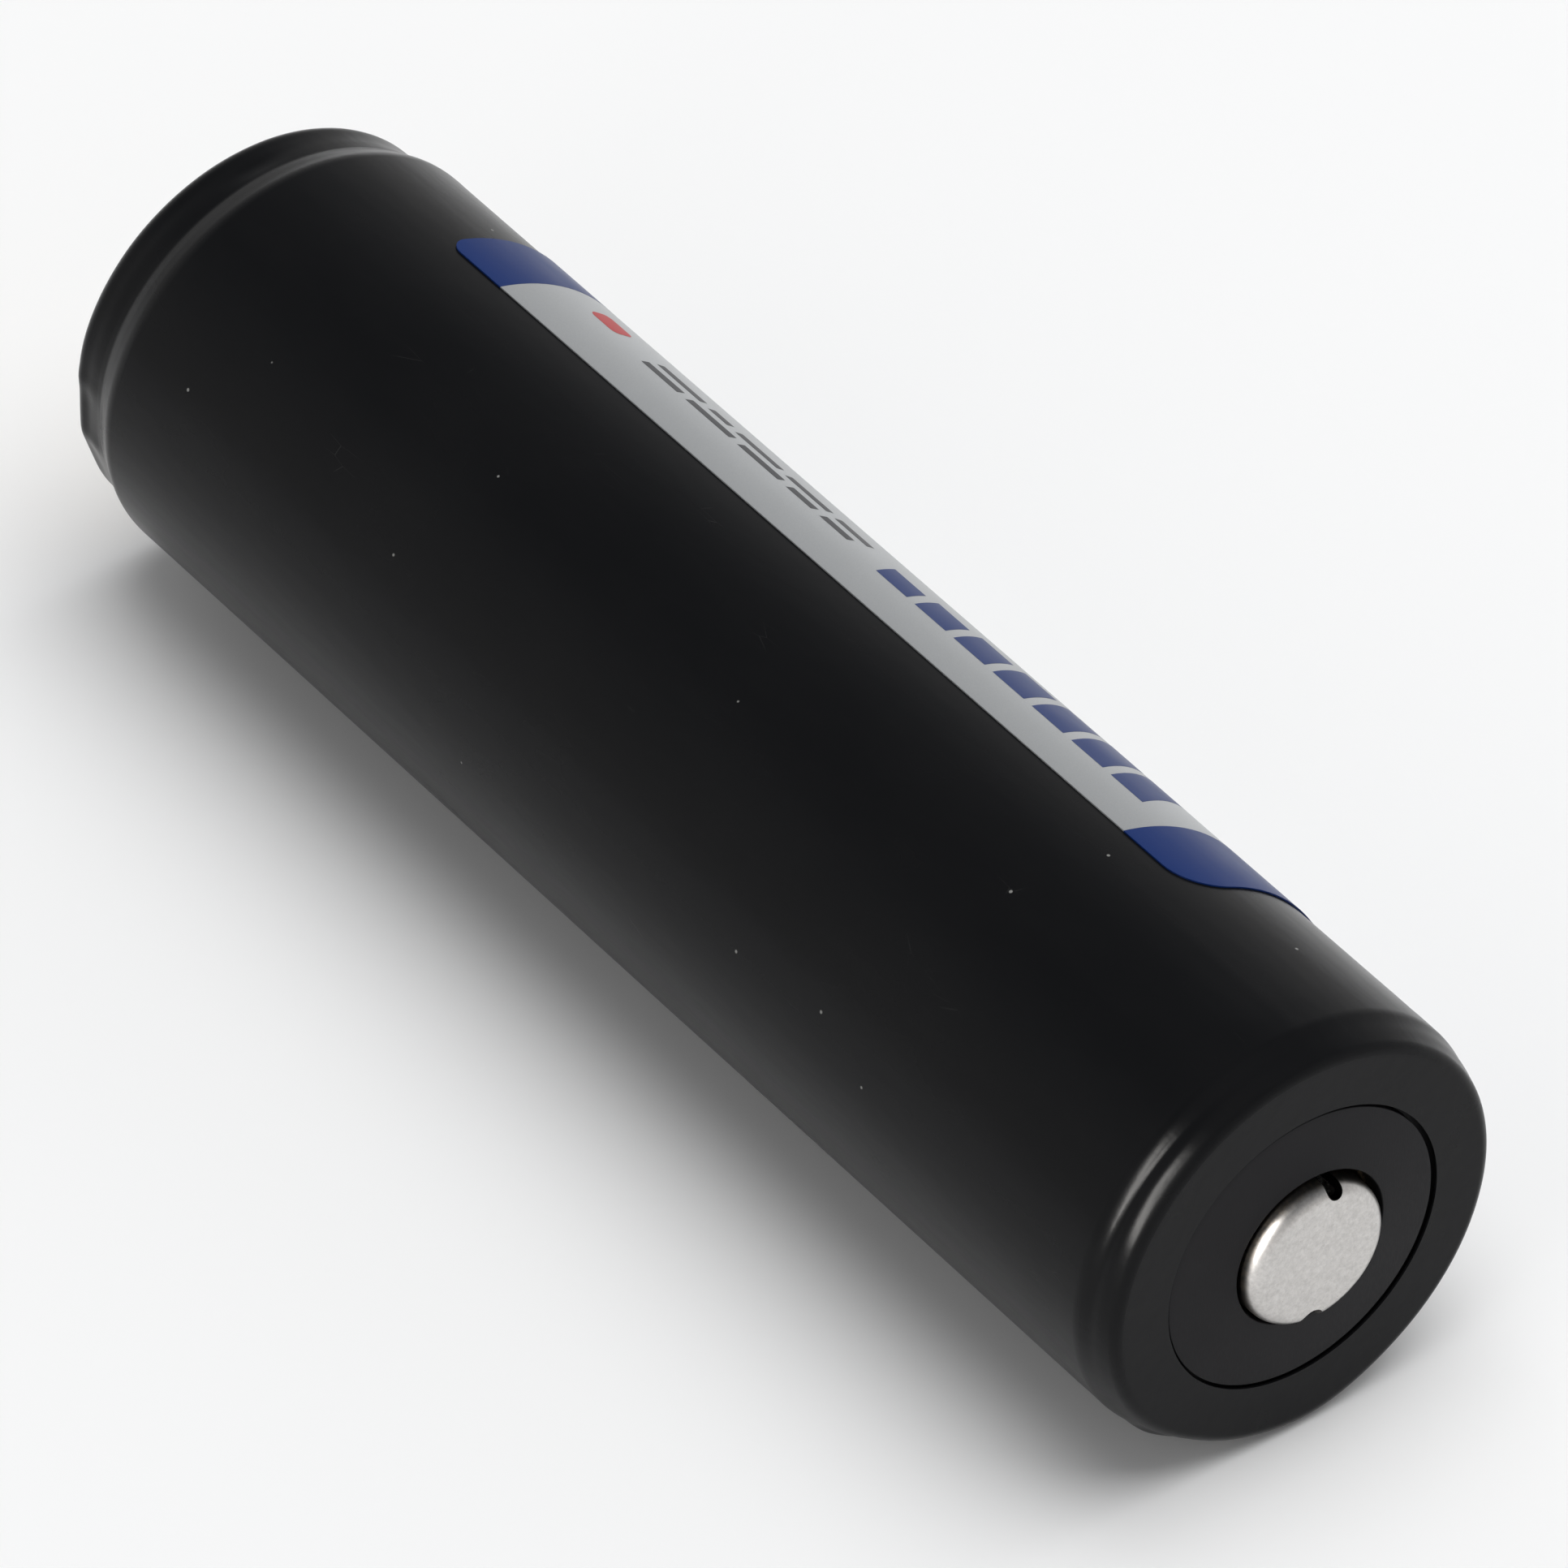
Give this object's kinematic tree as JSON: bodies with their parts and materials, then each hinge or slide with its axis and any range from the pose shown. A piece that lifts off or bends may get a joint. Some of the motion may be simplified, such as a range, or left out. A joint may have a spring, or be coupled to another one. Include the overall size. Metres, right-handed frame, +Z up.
{
  "type": "cylindrical battery cell",
  "caption": "Protected cylindrical lithium cell in a matt black shrink sleeve with a sticker, a raised nickel positive button and a flat negative contact.",
  "frame": {"origin": "centre of the negative contact's outer face, on the cell's axis", "axes": "+X along the axis from the negative contact to the positive button, +Z up, with the cell lying on its side"},
  "size_m": [0.0687, 0.0187, 0.0186],
  "materials": {
    "sleeve_film": "matt black heat-shrink film with faint ripples, dust and scuffs",
    "label_film": "satin silver-grey sticker film",
    "label_blue": "blue printed end bands and marks on the sticker",
    "label_grey_ink": "dark grey printed line marks on the sticker",
    "label_red_ink": "small red printed mark on the sticker",
    "washer_fibre": "matt black insulating fibre",
    "nickel": "satin nickel with fine pressing marks",
    "inner_film": "thin inner shrink film",
    "amber_tape": "amber insulating tape",
    "can_steel": "drawn nickel-plated steel",
    "gasket_plastic": "natural moulded plastic",
    "ptc_polymer": "carbon-filled polymer",
    "aluminium": "pressed aluminium",
    "white_film": "white porous film",
    "cathode_coat": "matt oxide coating on foil",
    "anode_coat": "matt graphite coating on foil",
    "board_laminate": "green coated laminate",
    "chip_plastic": "moulded black package",
    "capacitor_ceramic": "tan ceramic",
    "contact_gold": "gold-plated contact"
  },
  "bodies": {
    "cell": {"shrink_sleeve": "sleeve_film", "label": "label_film", "insulator_washer": "washer_fibre", "positive_button": "nickel", "bare_cell_sleeve": "inner_film", "strip_tape": "amber_tape", "positive_strip": "nickel", "can": "can_steel", "gasket": "gasket_plastic", "cell_cap": "can_steel", "ptc_ring": "ptc_polymer", "vent_disc_rim": "aluminium", "cid_insulator_ring": "gasket_plastic", "cid_plate": "aluminium", "positive_tab": "aluminium", "upper_insulator": "white_film", "cathode_sheet": "cathode_coat", "inner_separator": "white_film", "anode_sheet": "anode_coat", "outer_separator": "white_film", "winding_tape": "amber_tape", "centre_pin": "can_steel", "lower_insulator": "white_film", "negative_tab": "nickel", "board_insulator_disc": "washer_fibre", "board_spacer_ring": "washer_fibre", "protection_board": "board_laminate", "switch_chip_1": "chip_plastic", "switch_chip_2": "chip_plastic", "control_chip": "chip_plastic", "resistor_1": "chip_plastic", "resistor_2": "chip_plastic", "capacitor": "capacitor_ceramic", "board_tab": "nickel", "negative_contact": "contact_gold"},
    "vent_disc": {"vent_disc_centre": "aluminium"}
  },
  "joints": [
    {"name": "vent_disc_snap", "type": "slide", "parent": "cell", "child": "vent_disc", "axis": [1, 0, 0], "range_m": [0, 0.0006]}
  ]
}
